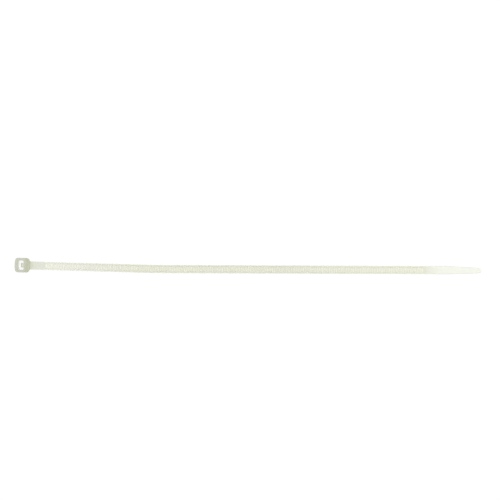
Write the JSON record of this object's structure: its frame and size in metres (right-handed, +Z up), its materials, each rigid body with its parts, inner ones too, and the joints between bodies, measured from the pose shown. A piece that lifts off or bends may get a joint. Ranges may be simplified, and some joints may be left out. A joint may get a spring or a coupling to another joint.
{
  "type": "cable tie",
  "caption": "Natural nylon cable tie with a ratchet head, an open slot with a hinged pawl, and a toothed strap between two rails.",
  "frame": {"origin": "middle of the slot, on the face of the head that the tail leaves, which rests on the table", "axes": "+X along the strap from the head to the tail, +Z up, from the exit face to the face that the tail enters, the side that the teeth are on"},
  "size_m": [0.203, 0.0082, 0.0047],
  "materials": {
    "nylon": "natural translucent polyamide, satin from the mould"
  },
  "bodies": {
    "root": {"cable_tie": "nylon"}
  },
  "joints": []
}
